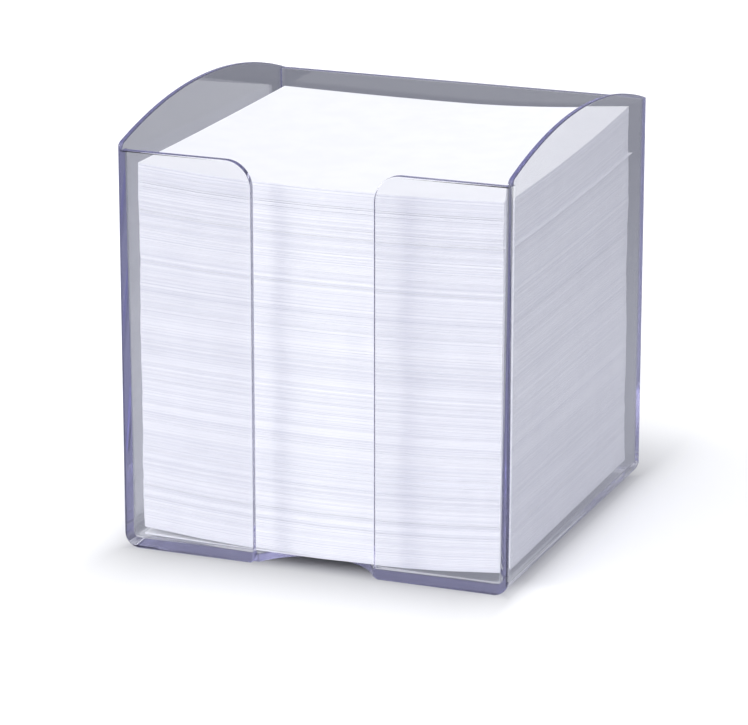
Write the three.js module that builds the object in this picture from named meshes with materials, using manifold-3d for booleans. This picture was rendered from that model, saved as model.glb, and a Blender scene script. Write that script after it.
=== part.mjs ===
// Memo cube holder: a clear moulded box with a finger slot in front, full of loose note sheets.
// Millimetres, +Z up, front towards -Y. The origin is under the middle of the box, on the desk.
import * as THREE from 'three';
import { mergeVertices } from 'three/addons/utils/BufferGeometryUtils.js';
import Module from 'manifold-3d';

// Note sheets
const sheetWidth = 90; // the sheets are square
const sheetThickness = 0.105;
const stackHeight = 89.92; // of all the sheets, with the air between them
const sheetsPerPacket = 17;
const packetCount = 47; // and one sheet on top
const curlHeight = 1.4; // how far the left and right edges stand above the middle
const curlSegments = 6;

// How the loose sheets lie
const sideClearance = 1.9; // between a centred sheet and each wall
const restGap = 0.05; // between the lowest sheet and the floor
const packetGap = 0.05;
const leavesPerPacket = 3;
const leafLap = 0.02; // leaves of one packet hold together by this much
const stackShiftShare = 0.08; // of the side clearance, towards the right wall
const stackTurn = THREE.MathUtils.degToRad(0.7); // the whole stack lies a little askew
const jogReachShare = 0.16; // of the side clearance, how far single leaves stray
const jogStepShares = [0.618, 0.7549]; // spread the strays evenly, sideways and in depth
const skewReach = THREE.MathUtils.degToRad(0.12);

// Moulded box
const wallThickness = 1.8;
const floorThickness = 2.1;
const freeboardHeight = 4; // walls stand above the sheets' edges
const archRise = 8; // side walls rise to an arch above the front and back walls
const archLead = 2.4; // the crown of the arch lies forward of the middle
const shoulderRadius = 2; // where an arch turns down into the front edge
const keelRadius = 4.3; // along the foot of each side wall
const toeRadius = 0.8; // along the foot of the front and back walls
const innerToeRadius = 1.5; // the same, inside
const postRadius = 0.7; // the four upright corners, outside
const innerPostRadius = 1; // the four upright corners, inside
const arcSegments = 10;
const archSegments = 36;

// Finger slot and the half-round notch that it runs into
const slotWidth = 30.4;
const slotShoulderRadius = 6.5;
const slotToeRadius = 1.3;
const notchDepth = 10.4;
const cutOverrun = 5;

// Worked out from the sizes above
const sheetCount = packetCount * sheetsPerPacket + 1;
const sheetPitch = stackHeight / sheetCount;
const packetPitch = sheetsPerPacket * sheetPitch;
const stackFoot = floorThickness + restGap;
const stackShift = stackShiftShare * sideClearance;
const jogReach = jogReachShare * sideClearance;
const innerHalf = sheetWidth / 2 + sideClearance;
const outerHalf = innerHalf + wallThickness;
const wallHeight = stackFoot + stackHeight + curlHeight + freeboardHeight;
const archTop = wallHeight + archRise;
const archReach = outerHalf + archLead; // from the crown back to the rear corner
const archRadius = (archReach ** 2 + archRise ** 2) / (2 * archRise);
const archCentre = archTop - archRadius;
const innerKeelRadius = Math.max(keelRadius - wallThickness, 0);
const slotHalf = slotWidth / 2;
const notchRadius = (slotHalf ** 2 + notchDepth ** 2) / (2 * notchDepth);

const clearStyrene = {
  color: 0xd9dbea,
  roughness: 0.06,
  metalness: 0,
  transparent: true,
  opacity: 0.35,
};
const whitePaper = { color: 0xf6f7fb, roughness: 0.92, metalness: 0 };

const wasm = await Module();
wasm.setup();

// Each view names the axes that its drawing's x, y and line of sight run along
const X = new THREE.Vector3(1, 0, 0);
const Y = new THREE.Vector3(0, 1, 0);
const Z = new THREE.Vector3(0, 0, 1);
const views = {
  front: new THREE.Matrix4().makeBasis(X, Z, Y.clone().negate()),
  side: new THREE.Matrix4().makeBasis(Y, Z, X),
  plan: new THREE.Matrix4(),
};

// A closed outline from corners [x, y, radius], each rounded by a true arc
function outline(corners) {
  const shape = new THREE.Shape();
  corners.forEach(([x, y, radius = 0], index) => {
    const corner = new THREE.Vector2(x, y);
    const [lastX, lastY] = corners.at(index - 1);
    const [nextX, nextY] = corners[(index + 1) % corners.length];
    const back = new THREE.Vector2(lastX, lastY).sub(corner).normalize();
    const ahead = new THREE.Vector2(nextX, nextY).sub(corner).normalize();
    const halfAngle = Math.acos(THREE.MathUtils.clamp(back.dot(ahead), -1, 1)) / 2;
    const start = corner.clone().addScaledVector(back, radius / Math.tan(halfAngle));
    if (index === 0) shape.moveTo(start.x, start.y);
    else shape.lineTo(start.x, start.y);
    if (radius === 0) return;
    const end = corner.clone().addScaledVector(ahead, radius / Math.tan(halfAngle));
    const inward = back.clone().add(ahead).normalize();
    const centre = corner.clone().addScaledVector(inward, radius / Math.sin(halfAngle));
    const from = start.clone().sub(centre).angle();
    const to = end.clone().sub(centre).angle();
    const clockwise = back.cross(ahead) > 0;
    shape.absarc(centre.x, centre.y, radius, from, to, clockwise);
  });
  shape.closePath();
  return shape;
}

// A solid from a shape drawn in one view, drawn out along the line of sight
function prism(shape, view, start, length, segments = arcSegments) {
  const geometry = new THREE.ExtrudeGeometry(shape, {
    depth: length,
    steps: 1,
    bevelEnabled: false,
    curveSegments: segments,
  });
  geometry.translate(0, 0, start);
  geometry.applyMatrix4(views[view]);
  return toSolid(geometry);
}

function toSolid(geometry) {
  geometry.deleteAttribute('normal');
  geometry.deleteAttribute('uv');
  const merged = mergeVertices(geometry);
  return new wasm.Manifold(new wasm.Mesh({
    numProp: 3,
    vertProperties: new Float32Array(merged.attributes.position.array),
    triVerts: new Uint32Array(merged.index.array),
  }));
}

function toGeometry(solid) {
  const mesh = solid.getMesh();
  const geometry = new THREE.BufferGeometry();
  geometry.setAttribute('position', new THREE.BufferAttribute(mesh.vertProperties, 3));
  geometry.setIndex(new THREE.BufferAttribute(mesh.triVerts, 1));
  geometry.computeVertexNormals();
  return geometry;
}

// Side view of the box: square feet, and an arch between the front shoulder and the back corner
function sideOutline() {
  const shoulderY = shoulderRadius - outerHalf;
  const shoulderZ = archCentre + Math.sqrt((archRadius - shoulderRadius) ** 2 - (shoulderY + archLead) ** 2);
  const backAngle = Math.atan2(wallHeight - archCentre, archReach);
  const frontAngle = Math.atan2(shoulderZ - archCentre, shoulderY + archLead);
  const toe = outerHalf - toeRadius;
  const shape = new THREE.Shape();
  shape.moveTo(-toe, 0);
  shape.lineTo(toe, 0);
  shape.absarc(toe, toeRadius, toeRadius, -Math.PI / 2, 0);
  shape.lineTo(outerHalf, wallHeight);
  const arch = new THREE.EllipseCurve(-archLead, archCentre, archRadius, archRadius, backAngle, frontAngle);
  arch.getPoints(archSegments).forEach((point) => shape.lineTo(point.x, point.y));
  shape.absarc(shoulderY, shoulderZ, shoulderRadius, frontAngle, Math.PI);
  shape.lineTo(-outerHalf, toeRadius);
  shape.absarc(-toe, toeRadius, toeRadius, Math.PI, Math.PI * 1.5);
  return shape;
}

function squareOutline(half, radius) {
  return outline([
    [-half, -half, radius],
    [half, -half, radius],
    [half, half, radius],
    [-half, half, radius],
  ]);
}

// A trough with rounded feet, seen from its end and open upwards at the given height
function troughOutline(half, foot, radius, top) {
  return outline([
    [-half, foot, radius],
    [half, foot, radius],
    [half, top],
    [-half, top],
  ]);
}

// The block that the mould's cavity would make, before the core hollows it
function outerBlock() {
  const height = archTop + cutOverrun;
  const trough = troughOutline(outerHalf, 0, keelRadius, height);
  return prism(trough, 'front', -outerHalf, 2 * outerHalf)
    .intersect(prism(sideOutline(), 'side', -outerHalf, 2 * outerHalf))
    .intersect(prism(squareOutline(outerHalf, postRadius), 'plan', 0, height));
}

// The room for the sheets, with rounded corners all round
function coreBlock() {
  const height = archTop + cutOverrun;
  const trough = troughOutline(innerHalf, floorThickness, innerKeelRadius, height);
  const crossTrough = troughOutline(innerHalf, floorThickness, innerToeRadius, height);
  return prism(trough, 'front', -innerHalf, 2 * innerHalf)
    .intersect(prism(crossTrough, 'side', -innerHalf, 2 * innerHalf))
    .intersect(prism(squareOutline(innerHalf, innerPostRadius), 'plan', 0, height));
}

// Brings the front and back walls down to their own height, between the side walls
function rimCut() {
  const rim = new THREE.BoxGeometry(2 * innerHalf, 2 * (outerHalf + cutOverrun), cutOverrun + archRise);
  rim.translate(0, 0, wallHeight + (cutOverrun + archRise) / 2);
  return toSolid(rim);
}

// Splits the front wall into two panels with rounded upper and lower corners
function slotCut() {
  const flare = slotHalf + slotShoulderRadius + slotToeRadius;
  const shape = outline([
    [-flare, -cutOverrun],
    [flare, -cutOverrun],
    [flare, 0],
    [slotHalf, 0, slotToeRadius],
    [slotHalf, wallHeight, slotShoulderRadius],
    [flare, wallHeight],
    [flare, wallHeight + cutOverrun],
    [-flare, wallHeight + cutOverrun],
    [-flare, wallHeight],
    [-slotHalf, wallHeight, slotShoulderRadius],
    [-slotHalf, 0, slotToeRadius],
    [-flare, 0],
  ]);
  return prism(shape, 'front', innerHalf, wallThickness + cutOverrun);
}

// Takes the inner foot's fillet out of the slot, so that the floor stays flat there
function filletCut() {
  const fillet = new THREE.BoxGeometry(slotWidth, 2 * innerToeRadius, wallHeight);
  fillet.translate(0, -innerHalf, floorThickness + wallHeight / 2);
  return toSolid(fillet);
}

// Half-round bite out of the floor, so that a finger reaches under the sheets
function notchCut() {
  const shape = new THREE.Shape();
  shape.absarc(0, notchDepth - outerHalf - notchRadius, notchRadius, 0, 2 * Math.PI);
  return prism(shape, 'plan', -cutOverrun, floorThickness + 2 * cutOverrun, archSegments);
}

function clearHolder() {
  const solid = outerBlock()
    .subtract(coreBlock())
    .subtract(rimCut())
    .subtract(slotCut())
    .subtract(filletCut())
    .subtract(notchCut());
  const mesh = new THREE.Mesh(toGeometry(solid), new THREE.MeshStandardMaterial(clearStyrene));
  mesh.name = 'clear_holder';
  return mesh;
}

// Front view of curled sheets from one level to another, both measured at their middle
function curledBand(low, high) {
  const half = sheetWidth / 2;
  const stations = Array.from({ length: curlSegments + 1 }, (_, k) => (2 * k) / curlSegments - 1);
  const under = stations.map((t) => new THREE.Vector2(half * t, low + curlHeight * t * t));
  const over = stations.map((t) => new THREE.Vector2(half * t, high + curlHeight * t * t));
  return new THREE.Shape([...under, ...over.reverse()]);
}

// Where the leaf of a given number strays to, sideways, in depth and in turn
function stray(number) {
  const [acrossShare, depthShare] = jogStepShares;
  const across = 2 * ((number * acrossShare) % 1) - 1;
  const depth = 2 * ((number * depthShare) % 1) - 1;
  return new THREE.Matrix4()
    .makeRotationZ(stackTurn + skewReach * across * depth)
    .setPosition(stackShift + jogReach * across, jogReach * depth, 0);
}

function leafSolid(low, high, number) {
  const geometry = new THREE.ExtrudeGeometry(curledBand(low, high), {
    depth: sheetWidth,
    steps: 1,
    bevelEnabled: false,
  });
  geometry.translate(0, 0, -sheetWidth / 2);
  geometry.applyMatrix4(views.front);
  geometry.applyMatrix4(stray(number));
  return toSolid(geometry);
}

// Seventeen sheets as one solid, in leaves that lie a little out of line
function packet(index) {
  const thickness = packetPitch - packetGap;
  const leafThickness = thickness / leavesPerPacket;
  let solid = null;
  for (let leaf = 0; leaf < leavesPerPacket; leaf += 1) {
    const low = leaf * leafThickness;
    const high = low + leafThickness + (leaf < leavesPerPacket - 1 ? leafLap : 0);
    const layer = leafSolid(low, high, index * leavesPerPacket + leaf);
    solid = solid ? solid.add(layer) : layer;
  }
  const mesh = new THREE.Mesh(toGeometry(solid), new THREE.MeshStandardMaterial(whitePaper));
  mesh.name = `sheet_packet_${String(index + 1).padStart(2, '0')}`;
  mesh.position.z = stackFoot + index * packetPitch;
  return mesh;
}

function topSheet() {
  const solid = leafSolid(0, sheetThickness, packetCount * leavesPerPacket);
  const mesh = new THREE.Mesh(toGeometry(solid), new THREE.MeshStandardMaterial(whitePaper));
  mesh.name = 'top_sheet';
  mesh.position.z = stackFoot + packetCount * packetPitch;
  return mesh;
}

const noteStack = new THREE.Group();
for (let index = 0; index < packetCount; index += 1) noteStack.add(packet(index));
noteStack.add(topSheet());

const memoCubeHolder = new THREE.Group();
memoCubeHolder.add(clearHolder(), noteStack);

export default memoCubeHolder;
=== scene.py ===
"""Memo cube holder: a clear moulded box with a finger slot, full of loose note sheets."""
import logging
import math
import random
from dataclasses import dataclass, field
from enum import Enum

import bmesh
import bpy
from mathutils import Matrix, Vector


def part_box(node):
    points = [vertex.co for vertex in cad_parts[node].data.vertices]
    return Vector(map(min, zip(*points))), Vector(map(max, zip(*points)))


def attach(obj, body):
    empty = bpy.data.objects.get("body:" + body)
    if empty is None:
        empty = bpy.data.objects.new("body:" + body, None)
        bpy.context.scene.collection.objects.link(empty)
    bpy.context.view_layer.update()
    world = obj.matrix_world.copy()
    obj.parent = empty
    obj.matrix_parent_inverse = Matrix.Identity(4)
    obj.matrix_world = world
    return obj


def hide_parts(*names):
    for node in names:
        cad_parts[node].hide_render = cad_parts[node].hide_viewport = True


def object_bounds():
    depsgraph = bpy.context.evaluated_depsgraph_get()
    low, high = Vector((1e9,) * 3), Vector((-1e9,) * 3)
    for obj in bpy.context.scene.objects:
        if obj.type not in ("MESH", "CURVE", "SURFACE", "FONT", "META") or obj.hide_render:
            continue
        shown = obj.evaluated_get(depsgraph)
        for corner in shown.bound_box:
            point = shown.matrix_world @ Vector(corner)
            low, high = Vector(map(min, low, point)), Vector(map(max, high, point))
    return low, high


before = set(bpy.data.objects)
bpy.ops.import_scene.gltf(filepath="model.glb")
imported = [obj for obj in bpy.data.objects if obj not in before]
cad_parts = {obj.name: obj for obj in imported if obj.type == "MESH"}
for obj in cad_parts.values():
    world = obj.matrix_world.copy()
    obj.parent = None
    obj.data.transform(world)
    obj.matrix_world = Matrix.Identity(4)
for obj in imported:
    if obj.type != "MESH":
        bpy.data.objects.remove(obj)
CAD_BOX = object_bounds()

LOG = logging.getLogger("memo_cube_holder")

# Units
MM = 0.001
MICRON = 0.001 * MM

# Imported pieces
HOLDER_NODE = "clear_holder"
TOP_SHEET_NODE = "top_sheet"
PACKET_PREFIX = "sheet_packet_"
SHEETS_PER_PACKET = 17
SHEET_WIDTH = 90 * MM
SHEET_THICKNESS = 0.105 * MM
STACK_TURN = math.radians(0.7)
# How far in front of its middle a sheet's back corner begins to rise, in half depths
CORNER_START = 0.4

# Each sheet's own shade, kept on its faces
TONE_ATTRIBUTE = "sheet_tone"

Colour = tuple[float, float, float]
Inputs = dict[str | int, object]

WHITE: Colour = (1.0, 1.0, 1.0)
BLACK: Colour = (0.0, 0.0, 0.0)


class Body(Enum):
    """The bodies that the pieces ride on."""

    HOLDER = "holder"
    NOTE_STACK = "note_stack"
    TOP_SHEET = "top_sheet"


class Slot(Enum):
    """The record's material slots."""

    CLEAR_STYRENE = "clear_styrene"
    NOTE_PAPER = "note_paper"


def rgba(colour: Colour) -> tuple[float, float, float, float]:
    """Returns the colour with full opacity."""
    return (*colour, 1.0)


def heading(azimuth: float, elevation: float) -> Vector:
    """Gives the direction from the object to what stands at an angle round it.

    Args:
        azimuth: degrees to the right of the front.
        elevation: degrees above the horizon.

    Returns:
        The direction, of length one.
    """
    turn, lift = math.radians(azimuth), math.radians(elevation)
    flat = math.cos(lift)
    return Vector((math.sin(turn) * flat, -math.cos(turn) * flat, math.sin(lift)))


class NodeBench:
    """Adds and joins the nodes of one material or world."""

    def __init__(self, tree: bpy.types.NodeTree) -> None:
        """Clears the tree and keeps it.

        Args:
            tree: the node tree to build in.
        """
        self.tree = tree
        tree.nodes.clear()

    def add(self, kind: str, inputs: Inputs | None = None, **settings: object) -> bpy.types.Node:
        """Adds a node and links or sets its inputs.

        Args:
            kind: the node's type, without ShaderNode before it.
            inputs: for each socket's name or number, an output to link or a value to set.
            settings: attributes of the node itself.

        Returns:
            The new node.
        """
        node = self.tree.nodes.new("ShaderNode" + kind)
        for name, value in settings.items():
            setattr(node, name, value)
        for socket, value in (inputs or {}).items():
            if isinstance(value, bpy.types.NodeSocket):
                self.tree.links.new(value, node.inputs[socket])
            else:
                node.inputs[socket].default_value = value
        return node

    def maths(self, operation: str, *terms: float | bpy.types.NodeSocket) -> bpy.types.NodeSocket:
        """Returns the value of a sum, product or other operation on the terms."""
        return self.add("Math", dict(enumerate(terms)), operation=operation).outputs[0]

    def along(self, vector: bpy.types.NodeSocket, axis: str) -> bpy.types.NodeSocket:
        """Returns how far a vector reaches along one axis."""
        return self.add("SeparateXYZ", {0: vector}).outputs[axis]

    def noise(self, place: bpy.types.NodeSocket, scale: float, detail: float) -> bpy.types.NodeSocket:
        """Returns a cloudy pattern of values between nought and one."""
        return self.add("TexNoise", {"Vector": place, "Scale": scale, "Detail": detail}).outputs[0]

    def blend(
        self,
        share: bpy.types.NodeSocket,
        first: bpy.types.NodeSocket | tuple[float, ...],
        second: bpy.types.NodeSocket | tuple[float, ...],
        **settings: object,
    ) -> bpy.types.NodeSocket:
        """Returns the mix of two colours, the second one at a share of one."""
        inputs = {"Factor": share, "A": first, "B": second}
        return self.add("Mix", inputs, data_type="RGBA", **settings).outputs["Result"]

    def spread(
        self, value: bpy.types.NodeSocket, start: float, end: float, low: float, high: float
    ) -> bpy.types.NodeSocket:
        """Returns the value moved smoothly from one range to another.

        Args:
            value: the value to map.
            start: where the change begins.
            end: where it ends.
            low: the result up to the start.
            high: the result from the end on.

        Returns:
            The mapped value.
        """
        inputs = {"Value": value, "From Min": start, "From Max": end, "To Min": low, "To Max": high}
        node = self.add("MapRange", inputs, interpolation_type="SMOOTHSTEP")
        return node.outputs["Result"]


@dataclass(frozen=True)
class ClearStyrene:
    """Clear polystyrene: polished, with a faint violet cast from absorption and a painted violet glow that
    stands in for light running along it.
    """

    refraction: float = 1.59
    roughness: float = 0.012
    scuff_roughness: float = 0.05
    underside_roughness: float = 0.2
    passed_colour: Colour = (0.24, 0.22, 0.67)
    absorption: float = 7.2
    # Painted light: the plastic's volume glows faintly violet, as if lit by light running along the walls
    painted_glow_colour: Colour = (0.6, 0.59, 1.0)
    painted_glow: float = 0.85
    flow_scale: float = 32.0
    flow_detail: float = 1.0
    flow_height: float = 9 * MICRON
    scuff_scale: float = 90.0
    scuff_detail: float = 4.0
    scuff_band: tuple[float, float] = (0.62, 0.8)
    # Light on the paper, through the walls and through the slot's cut edges
    light_passed: Colour = WHITE
    cut_passed: Colour = (0.12, 0.12, 0.28)
    cut_normal: float = 0.6
    slot_reach: float = 18 * MM
    slant_band: tuple[float, float] = (0.12, 0.28)
    # The duller underside: below this level, and as level as this
    underside_level: float = 0.2 * MM
    underside_normal: float = 0.9

    def material(self) -> bpy.types.Material:
        """Builds the plastic.

        Returns:
            The material, with slow waves from the mould, a few dull scuffs, absorption inside and a painted
            violet glow.
        """
        material = bpy.data.materials.new("clear_styrene")
        material.use_nodes = True
        bench = NodeBench(material.node_tree)
        place = bench.add("TexCoord").outputs["Object"]
        flow = bench.noise(place, self.flow_scale, self.flow_detail)
        waves = bench.add("Bump", {"Height": flow, "Strength": 1.0, "Distance": self.flow_height})
        scuff = bench.noise(place, self.scuff_scale, self.scuff_detail)
        dulled = bench.spread(scuff, *self.scuff_band, self.roughness, self.scuff_roughness)
        normal = bench.add("NewGeometry").outputs["True Normal"]
        facing = bench.maths("ABSOLUTE", bench.along(normal, "Z"))
        level = bench.maths("GREATER_THAN", facing, self.underside_normal)
        low = bench.maths("LESS_THAN", bench.along(place, "Z"), self.underside_level)
        under = bench.maths("MULTIPLY", level, low)
        dulled = bench.maths("MAXIMUM", dulled, bench.maths("MULTIPLY", under, self.underside_roughness))
        shader = bench.add("BsdfPrincipled", {
            "Base Color": rgba(WHITE),
            "Roughness": dulled,
            "IOR": self.refraction,
            "Transmission Weight": 1.0,
            "Normal": waves.outputs[0],
        })
        rays = bench.add("LightPath").outputs
        scattered = bench.maths("MAXIMUM", rays["Is Diffuse Ray"], rays["Is Shadow Ray"])
        passed = bench.blend(self.slot_cuts(bench, place), rgba(self.light_passed), rgba(self.cut_passed))
        clear = bench.add("BsdfTransparent", {"Color": passed})
        surface = bench.add("MixShader", {0: scattered, 1: shader.outputs[0], 2: clear.outputs[0]})
        inside = bench.add("VolumeAbsorption", {
            "Color": rgba(self.passed_colour), "Density": self.absorption,
        })
        # Painted light: a faint violet emission inside the plastic
        painted_glow = bench.add("Emission", {"Color": rgba(self.painted_glow_colour), "Strength": self.painted_glow})
        volume = bench.add("AddShader", {0: inside.outputs[0], 1: painted_glow.outputs[0]})
        bench.add("OutputMaterial", {"Surface": surface.outputs[0], "Volume": volume.outputs[0]})
        return material

    def slot_cuts(self, bench: NodeBench, place: bpy.types.NodeSocket) -> bpy.types.NodeSocket:
        """Marks the upright cut edges of the slot, which hold back the light that meets them.

        Args:
            bench: the bench that the nodes are added to.
            place: the place on the piece.

        Returns:
            One where the light meets a cut edge squarely, nought at a slant and elsewhere.
        """
        normal = bench.add("NewGeometry").outputs["True Normal"]
        sideways = bench.maths("ABSOLUTE", bench.along(normal, "X"))
        across = bench.maths("ABSOLUTE", bench.along(place, "X"))
        upright = bench.maths("GREATER_THAN", sideways, self.cut_normal)
        cut = bench.maths("MULTIPLY", upright, bench.maths("LESS_THAN", across, self.slot_reach))
        slant = bench.add("LayerWeight", {"Blend": 0.5}).outputs["Facing"]
        return bench.maths("MULTIPLY", cut, bench.spread(slant, *self.slant_band, 1.0, 0.0))


@dataclass(frozen=True)
class NotePaper:
    """Uncoated white paper, with faint fibre, cloudiness and the knife's upright streaks on cut edges; its
    flat faces are painted darker than the palest cut edges, as painted shade for the strong light from
    above.
    """

    white: Colour = (0.875, 0.88, 0.905)
    shade: Colour = (0.85, 0.855, 0.885)
    roughness: float = 0.88
    fibre_scale: float = 2600.0
    fibre_detail: float = 3.0
    fibre_height: float = 6 * MICRON
    fibre_strength: float = 0.6
    cloud_scale: float = 150.0
    cloud_detail: float = 2.0
    streak_stretch: tuple[float, float, float] = (110.0, 110.0, 3.0)
    streak_detail: float = 3.0
    streak_share: float = 0.45
    patch_band: tuple[float, float] = (0.35, 0.65)
    edge_white: Colour = (0.945, 0.95, 0.99)
    edge_shade: Colour = (0.7, 0.71, 0.785)
    edge_normals: tuple[float, float] = (0.3, 0.7)
    edge_tone_share: float = 0.85
    edge_patch_share: float = 0.15

    def material(self) -> bpy.types.Material:
        """Builds the paper.

        Returns:
            The material.
        """
        material = bpy.data.materials.new("note_paper")
        material.use_nodes = True
        bench = NodeBench(material.node_tree)
        place = bench.add("TexCoord").outputs["Object"]
        fibre = bench.noise(place, self.fibre_scale, self.fibre_detail)
        cloud = bench.noise(place, self.cloud_scale, self.cloud_detail)
        stretched = bench.add("Mapping", {"Vector": place, "Scale": self.streak_stretch})
        streak = bench.noise(stretched.outputs[0], 1.0, self.streak_detail)
        patchy = bench.add("Mix", {
            "Factor": self.streak_share, "A": cloud, "B": streak,
        }, data_type="FLOAT")
        share = bench.spread(patchy.outputs["Result"], *self.patch_band, 0.0, 1.0)
        colour = bench.blend(share, rgba(self.shade), rgba(self.white))
        # Flat faces take the face colours, painted darker than the palest cut edge as painted shade for the
        # light from above; each sheet's edge tone varies at random
        normal = bench.add("NewGeometry").outputs["True Normal"]
        upwards = bench.maths("ABSOLUTE", bench.along(normal, "Z"))
        cut_edge = bench.spread(upwards, *self.edge_normals, 1.0, 0.0)
        tone = bench.add("Attribute", attribute_name=TONE_ATTRIBUTE).outputs["Fac"]
        patches = bench.maths("MULTIPLY", share, self.edge_patch_share)
        darkness = bench.maths("MULTIPLY_ADD", tone, self.edge_tone_share, patches)
        edge = bench.blend(darkness, rgba(self.edge_white), rgba(self.edge_shade))
        grain = bench.add("Bump", {
            "Height": fibre, "Strength": self.fibre_strength, "Distance": self.fibre_height,
        })
        shader = bench.add("BsdfPrincipled", {
            "Base Color": bench.blend(cut_edge, colour, edge),
            "Roughness": self.roughness,
            "Normal": grain.outputs[0],
        })
        bench.add("OutputMaterial", {"Surface": shader.outputs[0]})
        return material


@dataclass(frozen=True)
class StudioFloor:
    """A plain floor: pale where it is looked at, with painted shade under the box and a painted soft shadow
    round its foot, and an even mid grey where the plastic bends the view of it.
    """

    # What the camera sees: painted shade under the box and a painted soft shadow round its foot
    pale: Colour = (1.1, 1.1, 1.08)
    shaded: Colour = (0.7, 0.7, 0.73)
    shade_band: tuple[float, float] = (44 * MM, 50 * MM)
    footprint_half: float = 48.7 * MM
    contact_share: float = 0.48
    contact_reach: float = 26 * MM
    contact_ends: tuple[float, float, float] = (35 * MM, 62 * MM, 0.6)
    side_fades: tuple[float, float] = (2.5, 5.0)
    # What lights the paper, and what the plastic mirrors
    lit: Colour = (0.7, 0.7, 0.71)
    mirrored: Colour = (0.5, 0.505, 0.54)
    mirrored_far: Colour = (0.33, 0.335, 0.37)
    # What shows through the plastic
    rim: Colour = (0.55, 0.56, 0.62)
    rim_band: tuple[float, float] = (43.5 * MM, 45 * MM)
    near: Colour = (0.285, 0.294, 0.345)
    far: Colour = (0.215, 0.222, 0.265)
    near_reach: float = 80 * MM
    far_reach: float = 420 * MM

    def material(self) -> bpy.types.Material:
        """Builds the floor's finish.

        Returns:
            The material.
        """
        material = bpy.data.materials.new("studio_floor")
        material.use_nodes = True
        material.cycles.emission_sampling = "NONE"
        bench = NodeBench(material.node_tree)
        rays = bench.add("LightPath").outputs
        place = bench.add("TexCoord").outputs["Object"]
        across, deep = (bench.along(place, axis) for axis in "XY")
        distance = bench.add("VectorMath", {0: place}, operation="LENGTH").outputs["Value"]
        far_share = bench.spread(distance, self.near_reach, self.far_reach, 0.0, 1.0)
        # Painted shade: where the camera sees it, the floor under the box takes the darker colour
        span = bench.maths("MAXIMUM", bench.maths("ABSOLUTE", across), bench.maths("ABSOLUTE", deep))
        open_share = bench.spread(span, *self.shade_band, 0.0, 1.0)
        bare = bench.blend(open_share, rgba(self.shaded), rgba(self.pale))
        # Painted shadow: the floor's colour is darkened round the foot of the box
        soft = bench.blend(self.contact_shade(bench, across, deep), bare, rgba(BLACK))
        mirrored = bench.blend(far_share, rgba(self.mirrored), rgba(self.mirrored_far))
        unseen = bench.blend(rays["Is Glossy Ray"], rgba(self.lit), mirrored)
        plain = bench.add("BsdfDiffuse", {"Color": bench.blend(rays["Is Camera Ray"], unseen, soft)})
        covered = bench.maths("LESS_THAN", span, self.footprint_half)
        under = bench.maths("MULTIPLY", bench.spread(span, *self.rim_band, 0.0, 1.0), covered)
        nearby = bench.blend(under, rgba(self.near), rgba(self.rim))
        even = bench.add("Emission", {
            "Color": bench.blend(far_share, nearby, rgba(self.far)), "Strength": 1.0,
        })
        surface = bench.add("MixShader", {
            0: rays["Is Transmission Ray"], 1: plain.outputs[0], 2: even.outputs[0],
        })
        bench.add("OutputMaterial", {"Surface": surface.outputs[0]})
        return material

    def contact_shade(
        self, bench: NodeBench, across: bpy.types.NodeSocket, deep: bpy.types.NodeSocket
    ) -> bpy.types.NodeSocket:
        """Gives the soft shadow that is painted into the floor's colour round the foot of the box.

        Args:
            bench: the bench that the nodes are added to.
            across: the place's distance to the right of the middle.
            deep: its distance behind the middle.

        Returns:
            The share of the floor's colour that the painted shadow takes away, which fades away from the
            box.
        """
        aside, ahead = (bench.maths("ABSOLUTE", side) for side in (across, deep))
        sideways, forwards = (
            bench.maths("MAXIMUM", bench.maths("SUBTRACT", side, self.footprint_half), 0.0)
            for side in (aside, ahead)
        )
        side_fade = bench.spread(across, -self.footprint_half, self.footprint_half, *self.side_fades)
        sideways = bench.maths("MULTIPLY", sideways, side_fade)
        square = bench.maths("ADD", bench.maths("POWER", sideways, 2.0), bench.maths("POWER", forwards, 2.0))
        fade = bench.maths("MULTIPLY", bench.maths("SQRT", square), -1 / self.contact_reach)
        start, end, share = self.contact_ends
        ends = bench.spread(aside, start, end, 1.0, share)
        strength = bench.maths("MULTIPLY", ends, self.contact_share)
        return bench.maths("MULTIPLY", bench.maths("EXPONENT", fade), strength)


def finish_object(bm: bmesh.types.BMesh, name: str, material: bpy.types.Material) -> bpy.types.Object:
    """Turns a bmesh into a piece at the origin.

    Args:
        bm: the finished shape, in metres in the shared frame. It is freed.
        name: the piece's name.
        material: its only material.

    Returns:
        The new object.
    """
    mesh = bpy.data.meshes.new(name)
    bm.to_mesh(mesh)
    bm.free()
    mesh.shade_smooth()
    mesh.materials.append(material)
    piece = bpy.data.objects.new(name, mesh)
    bpy.context.scene.collection.objects.link(piece)
    return piece


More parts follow.
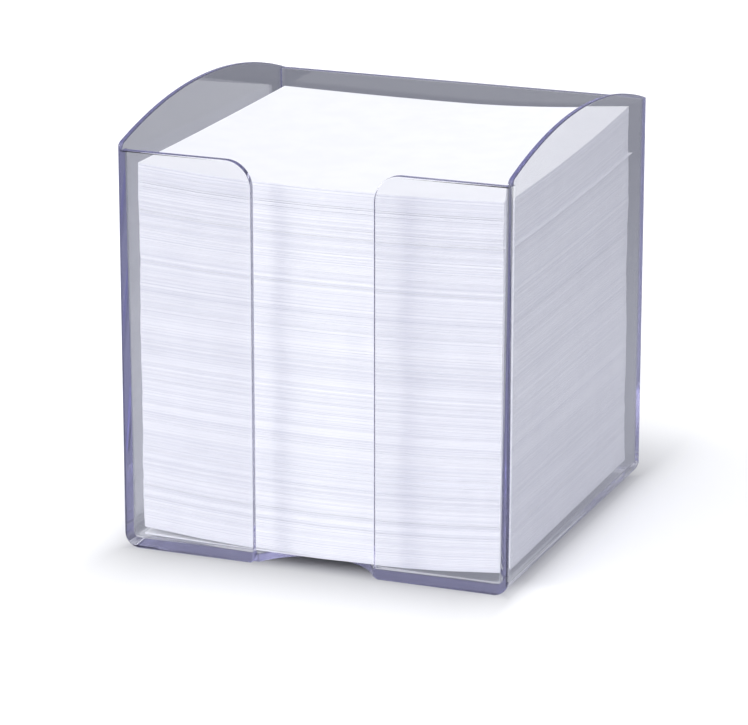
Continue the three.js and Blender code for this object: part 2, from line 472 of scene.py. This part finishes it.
@dataclass
class Holder:
    """The clear box: floor, back wall, arched side walls and two front panels in one moulding."""

    material: bpy.types.Material
    lip_radius: float = 0.3 * MM
    lip_segments: int = 3
    sharp_angle: float = math.radians(35)
    flat_angle: float = math.radians(0.4)
    weld_distance: float = 60 * MICRON
    sliver_width: float = 30 * MICRON
    cavity_half: float = 46.9 * MM
    cavity_band: float = 1.1 * MM
    floor_level: float = 2.1 * MM
    draft: float = 0.006

    def thin_upwards(self, bm: bmesh.types.BMesh) -> None:
        """Lets the side walls' inner faces lean outwards, so that the walls are thinner at the top.

        Args:
            bm: the box, with its inner faces upright.
        """
        for vert in bm.verts:
            depth = self.cavity_half + self.weld_distance - abs(vert.co.x)
            if 0 < depth < self.cavity_band:
                lean = self.draft * max(vert.co.z - self.floor_level, 0)
                vert.co.x += math.copysign(lean, vert.co.x)

    def build(self) -> bpy.types.Object:
        """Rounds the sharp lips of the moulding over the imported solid.

        Returns:
            The box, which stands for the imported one.
        """
        bm = bmesh.new()
        bm.from_mesh(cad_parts[HOLDER_NODE].data)
        bmesh.ops.remove_doubles(bm, verts=bm.verts, dist=self.weld_distance)
        bmesh.ops.dissolve_degenerate(bm, dist=self.sliver_width, edges=bm.edges)
        bmesh.ops.dissolve_limit(
            bm, angle_limit=self.flat_angle, use_dissolve_boundaries=False, verts=bm.verts, edges=bm.edges
        )
        self.thin_upwards(bm)
        bm.normal_update()
        sharp = [edge for edge in bm.edges if edge.calc_face_angle_signed(0) > self.sharp_angle]
        bmesh.ops.bevel(
            bm,
            geom=sharp,
            offset=self.lip_radius,
            offset_type="OFFSET",
            affect="EDGES",
            segments=self.lip_segments,
            profile=0.5,
            material=-1,
            clamp_overlap=False,
        )
        bmesh.ops.dissolve_degenerate(bm, dist=self.sliver_width, edges=bm.edges)
        low, high = CAD_BOX
        for vert in bm.verts:
            vert.co = [min(max(place, start), end) for place, start, end in zip(vert.co, low, high)]
        piece = finish_object(bm, "moulded_box", self.material)
        weighted = piece.modifiers.new("flat_walls", "WEIGHTED_NORMAL")
        weighted.keep_sharp = True
        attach(piece, Body.HOLDER.value)
        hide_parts(HOLDER_NODE)
        return piece


@dataclass(frozen=True)
class SheetLie:
    """How one sheet lies: its level, shift, turn, what rises on it, and how dark its cut edge is."""

    level: float
    across: float
    depth: float
    turn: float
    left_rise: float
    right_rise: float
    corner_rise: float
    left_twist: float
    back_rise: float
    tone: float

    def place(self, point: Vector) -> Vector:
        """Moves a point of a flat, centred sheet to where it lies.

        Args:
            point: the point on the flat sheet.

        Returns:
            The point in the stack.
        """
        share, back_share = (2 * side / SHEET_WIDTH for side in point.xy)
        lift = self.left_rise - self.left_twist * back_share
        if share > 0:
            corner_share = max((back_share + CORNER_START) / (1 + CORNER_START), 0)
            lift = self.right_rise + self.corner_rise * corner_share**2
        rise = lift * share * share + self.back_rise * ((back_share + 1) / 2) ** 2
        turned = Matrix.Rotation(self.turn, 3, "Z") @ Vector((point.x, point.y, 0))
        return turned + Vector((self.across, self.depth, self.level + point.z + rise))


@dataclass
class SheetLies:
    """Deals out how every sheet lies, from the floor up."""

    count: int
    foot: float
    pitch: float
    middle: float
    edge_rise: float
    set_back: float
    seed: int = 41
    # Shifts, with lengths counted in sheets
    drift_reaches: tuple[float, ...] = (0.1 * MM, 0.03 * MM, 0.01 * MM)
    drift_lengths: tuple[float, ...] = (310.0, 97.0, 33.0)
    block_reach: float = 0.03 * MM
    block_sheets: tuple[int, int] = (4, 38)
    loose_reach: float = 0.025 * MM
    stray_chance: float = 0.02
    stray_reach: float = 0.2 * MM
    recess_chance: float = 0.16
    recess_reaches: tuple[float, float] = (0.04 * MM, 0.13 * MM)
    recess_sheets: tuple[int, int] = (1, 3)
    # Shades of the cut edges
    tone_middle: float = 0.4
    tone_reach: float = 0.3
    band_memory: float = 0.6
    band_reach: float = 0.09
    # Turns
    turn_reach: float = math.radians(0.06)
    loose_turn: float = math.radians(0.012)
    # Raised edges and corners, at the foot of the stack and near its top
    foot_left_rise: float = 2.4 * MM
    foot_right_rise: float = 2.4 * MM
    settle_share: float = 0.55
    top_right_drop: float = 0.5 * MM
    top_corner_rise: float = 1.75 * MM
    top_left_twist: float = 0.85 * MM
    top_back_rise: float = 0.85 * MM
    corner_depth: float = 35 * MM
    splayed_sheets: int = 3
    splayed_rise: float = 0.95 * MM
    # The one sheet that stands out on the right, so far below the top
    proud_depth: float = 11 * MM
    proud_reach: float = 1.05 * MM
    rng: random.Random = field(init=False)

    def __post_init__(self) -> None:
        """Seeds the draws."""
        self.rng = random.Random(self.seed)

    def drift(self) -> list[float]:
        """Draws a slow wander through the stack.

        Returns:
            One shift for each sheet.
        """
        phases = [self.rng.uniform(0, math.tau) for _ in self.drift_lengths]
        waves = list(zip(self.drift_reaches, self.drift_lengths, phases))
        return [
            sum(reach * math.sin(math.tau * number / length + phase) for reach, length, phase in waves)
            for number in range(self.count)
        ]

    def blocks(self) -> list[float]:
        """Draws shifts that whole handfuls of sheets share.

        Returns:
            One shift for each sheet.
        """
        values: list[float] = []
        while len(values) < self.count:
            shift = self.rng.gauss(0, self.block_reach)
            values += [shift] * self.rng.randint(*self.block_sheets)
        return values[: self.count]

    def strays(self) -> list[float]:
        """Draws each sheet's own small shift, and a larger one for the few that stick out.

        Returns:
            One shift for each sheet.
        """
        values = []
        for _ in range(self.count):
            loose = self.rng.gauss(0, self.loose_reach)
            stray = self.rng.uniform(0, self.stray_reach) if self.rng.random() < self.stray_chance else 0
            values.append(loose + stray)
        return values

    def recesses(self) -> list[float]:
        """Draws thin groups of sheets that lie behind their neighbours.

        Returns:
            How far back each sheet lies.
        """
        values: list[float] = []
        while len(values) < self.count:
            if self.rng.random() < self.recess_chance:
                values += [self.rng.uniform(*self.recess_reaches)] * self.rng.randint(*self.recess_sheets)
            else:
                values.append(0.0)
        return values[: self.count]

    def tones(self) -> list[float]:
        """Draws how dark each sheet's cut edge is: soft bands, with thin darker lines.

        Returns:
            One tone for each sheet, from nought for pale to one for dark.
        """
        values = []
        band = 0.0
        for _ in range(self.count):
            band = self.band_memory * band + self.rng.gauss(0, self.band_reach)
            tone = self.tone_middle + band + self.rng.gauss(0, self.tone_reach)
            values.append(min(max(tone, 0.0), 1.0))
        return values

    def rises(self, number: int) -> tuple[float, float, float, float, float]:
        """Works out how a sheet rises: high edges at the foot of the stack, a high back corner at its top.

        Args:
            number: the sheet's place in the stack, from nought at the floor.

        Returns:
            The rise of its left edge, right edge and corner, its left edge's twist and its back's rise.
        """
        share = min(number / (self.count * self.settle_share), 1)
        eased = share * share * (3 - 2 * share)
        left = self.foot_left_rise + (self.edge_rise - self.foot_left_rise) * eased
        right = self.foot_right_rise + (self.edge_rise - self.foot_right_rise) * eased
        if number < self.splayed_sheets:
            left = self.splayed_rise
        buried = (self.count - 1 - number) * self.pitch
        near_top = max(1 - buried / self.corner_depth, 0)
        right -= self.top_right_drop * near_top
        corner = self.top_corner_rise * near_top
        return left, right, corner, self.top_left_twist * near_top, self.top_back_rise * near_top

    def deal(self) -> list[SheetLie]:
        """Draws every sheet's lie.

        Returns:
            One lie for each sheet, the lowest first.
        """
        across = [sum(parts) for parts in zip(self.drift(), self.blocks(), self.strays())]
        depth = [sum(parts) for parts in zip(self.drift(), self.blocks(), self.strays())]
        recesses, tones = self.recesses(), self.tones()
        turns = self.drift()
        turn_scale = self.turn_reach / sum(self.drift_reaches)
        proud = self.count - round(self.proud_depth / self.pitch)
        lies = []
        for number in range(self.count):
            shift = self.middle + across[number] + (self.proud_reach if number == proud else 0)
            back = self.set_back + depth[number] + recesses[number]
            turn = STACK_TURN + turns[number] * turn_scale + self.rng.gauss(0, self.loose_turn)
            level = self.foot + number * self.pitch
            lies.append(SheetLie(level, shift, back, turn, *self.rises(number), tones[number]))
        return lies


@dataclass
class NoteSheets:
    """The loose sheets: 47 packets that stay in the box and the top sheet that is taken off."""

    material: bpy.types.Material
    segments: tuple[int, int] = (6, 3)
    top_segments: tuple[int, int] = (28, 24)
    smooth_angle: float = math.radians(30)
    packets: list[str] = field(init=False)
    lies: list[SheetLie] = field(init=False)

    def __post_init__(self) -> None:
        """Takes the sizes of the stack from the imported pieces."""
        low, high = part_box(TOP_SHEET_NODE)
        middle = (low + high) / 2
        edge_rise = high.z - low.z - SHEET_THICKNESS
        self.packets = sorted(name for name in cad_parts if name.startswith(PACKET_PREFIX))
        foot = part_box(self.packets[0])[0].z
        count = len(self.packets) * SHEETS_PER_PACKET + 1
        pitch = (low.z - foot) / (count - 1)
        self.lies = SheetLies(count, foot, pitch, middle.x, edge_rise, middle.y).deal()

    def blank(self, segments: tuple[int, int]) -> bpy.types.Mesh:
        """Builds one flat sheet, centred over the origin.

        Args:
            segments: how many stretches its curl will have, across and in depth.

        Returns:
            The closed sheet, with its underside at zero.
        """
        bm = bmesh.new()
        across, deep = segments
        bmesh.ops.create_grid(bm, x_segments=across, y_segments=deep, size=SHEET_WIDTH / 2)
        bmesh.ops.solidify(bm, geom=bm.faces[:], thickness=SHEET_THICKNESS)
        lowest = min(vert.co.z for vert in bm.verts)
        bmesh.ops.translate(bm, vec=(0, 0, -lowest), verts=bm.verts)
        bmesh.ops.recalc_face_normals(bm, faces=bm.faces)
        mesh = bpy.data.meshes.new("blank_sheet")
        bm.to_mesh(mesh)
        bm.free()
        return mesh

    def piece(self, name: str, lies: list[SheetLie], blank: bpy.types.Mesh, body: Body, node: str) -> None:
        """Builds a piece of one or more sheets in place of a packed one.

        Args:
            name: the piece's name.
            lies: how its sheets lie.
            blank: the flat sheet that each is curled from.
            body: the body that it rides on.
            node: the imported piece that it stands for.
        """
        bm = bmesh.new()
        for lie in lies:
            bm.from_mesh(blank)
            bm.verts.ensure_lookup_table()
            for vert in bm.verts[-len(blank.vertices) :]:
                vert.co = lie.place(vert.co)
        made = finish_object(bm, name, self.material)
        made.data.set_sharp_from_angle(angle=self.smooth_angle)
        tones = made.data.attributes.new(TONE_ATTRIBUTE, "FLOAT", "FACE")
        for index, item in enumerate(tones.data):
            item.value = lies[index // len(blank.polygons)].tone
        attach(made, body.value)
        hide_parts(node)

    def build(self) -> int:
        """Builds every sheet.

        Returns:
            How many pieces were made.
        """
        blank = self.blank(self.segments)
        for index, node in enumerate(self.packets):
            start = index * SHEETS_PER_PACKET
            lies = self.lies[start : start + SHEETS_PER_PACKET]
            name = "loose_sheets_" + node.removeprefix(PACKET_PREFIX)
            self.piece(name, lies, blank, Body.NOTE_STACK, node)
        self.piece("top_note", self.lies[-1:], self.blank(self.top_segments), Body.TOP_SHEET, TOP_SHEET_NODE)
        return len(self.packets) + 1


@dataclass(frozen=True)
class Softbox:
    """A soft light round the object: its direction and its spread in degrees, and its strength."""

    azimuth: float
    elevation: float
    inner: float
    outer: float
    colour: Colour

    def direction(self) -> Vector:
        """Returns the direction from the object to the light."""
        return heading(self.azimuth, self.elevation)


@dataclass
class Studio:
    """The pale floor, the soft light round it and the camera."""

    floor_drop: float = 0.15 * MM
    floor_reach: float = 4.0
    backdrop: Colour = WHITE
    surround: Colour = (0.21, 0.215, 0.24)
    upper: Colour = (0.38, 0.385, 0.4)
    lower: Colour = (0.3, 0.31, 0.335)
    horizon_band: tuple[float, float] = (-0.06, 0.1)
    surround_band: tuple[float, float] = (0.2, 0.6)
    softboxes: tuple[Softbox, ...] = (
        Softbox(0, 90, 15, 75, (0.235, 0.235, 0.235)),
        Softbox(-38, 28, 12, 60, (1.08, 1.08, 1.1)),
        Softbox(80, 55, 12, 60, (0.78, 0.785, 0.86)),
        Softbox(-68, 12, 4, 9, (28.0, 28.0, 28.5)),
    )
    camera_place: tuple[float, float, float] = (341.2 * MM, -872.0 * MM, 317.3 * MM)
    camera_azimuth: float = 21.59
    camera_elevation: float = 16.62
    lens: float = 193.7
    sensor: float = 36.0
    clip: tuple[float, float] = (10 * MM, 100.0)
    clear_bounces: int = 64
    diffuse_bounces: int = 5

    def build(self) -> None:
        """Builds the studio round the object."""
        self.lay_floor()
        self.light()
        self.place_camera()
        scene = bpy.context.scene
        scene.view_settings.view_transform = "Standard"
        scene.cycles.max_bounces = self.clear_bounces
        scene.cycles.transmission_bounces = self.clear_bounces
        scene.cycles.glossy_bounces = self.clear_bounces
        scene.cycles.diffuse_bounces = self.diffuse_bounces

    def lay_floor(self) -> None:
        """Lays the floor just under the box."""
        bm = bmesh.new()
        bmesh.ops.create_grid(bm, x_segments=1, y_segments=1, size=self.floor_reach)
        bmesh.ops.translate(bm, vec=(0, 0, -self.floor_drop), verts=bm.verts)
        finish_object(bm, "studio_floor", StudioFloor().material())

    def light(self) -> None:
        """Lights the object from all round, brightest from above and from the front left."""
        world = bpy.data.worlds.new("soft_studio")
        world.use_nodes = True
        bpy.context.scene.world = world
        bench = NodeBench(world.node_tree)
        direction = bench.add("TexCoord").outputs["Generated"]
        height = bench.along(direction, "Z")
        above = bench.spread(height, *self.horizon_band, 0.0, 1.0)
        total = bench.blend(above, rgba(self.lower), rgba(self.upper))
        for softbox in self.softboxes:
            aim = bench.add("VectorMath", {0: direction, 1: softbox.direction()}, operation="DOT_PRODUCT")
            outer, inner = (math.cos(math.radians(angle)) for angle in (softbox.outer, softbox.inner))
            share = bench.spread(aim.outputs["Value"], outer, inner, 0.0, 1.0)
            total = bench.blend(share, total, rgba(softbox.colour), blend_type="ADD")
        rays = bench.add("LightPath").outputs
        low = bench.spread(height, *self.surround_band, 1.0, 0.0)
        seen_through = bench.maths("MULTIPLY", rays["Is Transmission Ray"], low)
        for share, colour in ((seen_through, self.surround), (rays["Is Camera Ray"], self.backdrop)):
            total = bench.blend(share, total, rgba(colour))
        background = bench.add("Background", {"Color": total, "Strength": 1.0})
        bench.add("OutputWorld", {"Surface": background.outputs[0]})

    def place_camera(self) -> None:
        """Places the camera at the photograph's angle and distance."""
        data = bpy.data.cameras.new("studio_camera")
        data.lens = self.lens
        data.sensor_width = self.sensor
        data.clip_start, data.clip_end = self.clip
        camera = bpy.data.objects.new("studio_camera", data)
        camera.location = self.camera_place
        camera.rotation_mode = "QUATERNION"
        ahead = -heading(self.camera_azimuth, self.camera_elevation)
        camera.rotation_quaternion = ahead.to_track_quat("-Z", "Y")
        bpy.context.scene.collection.objects.link(camera)
        bpy.context.scene.camera = camera


def main() -> None:
    """Builds the box, the sheets and the studio, and reports them."""
    logging.basicConfig(level=logging.INFO, format="%(name)s: %(message)s")
    box = Holder(ClearStyrene().material()).build()
    LOG.info("%s has %d faces", box.name, len(box.data.polygons))
    LOG.info("%d pieces of paper", NoteSheets(NotePaper().material()).build())
    Studio().build()


if __name__ == "__main__":
    main()
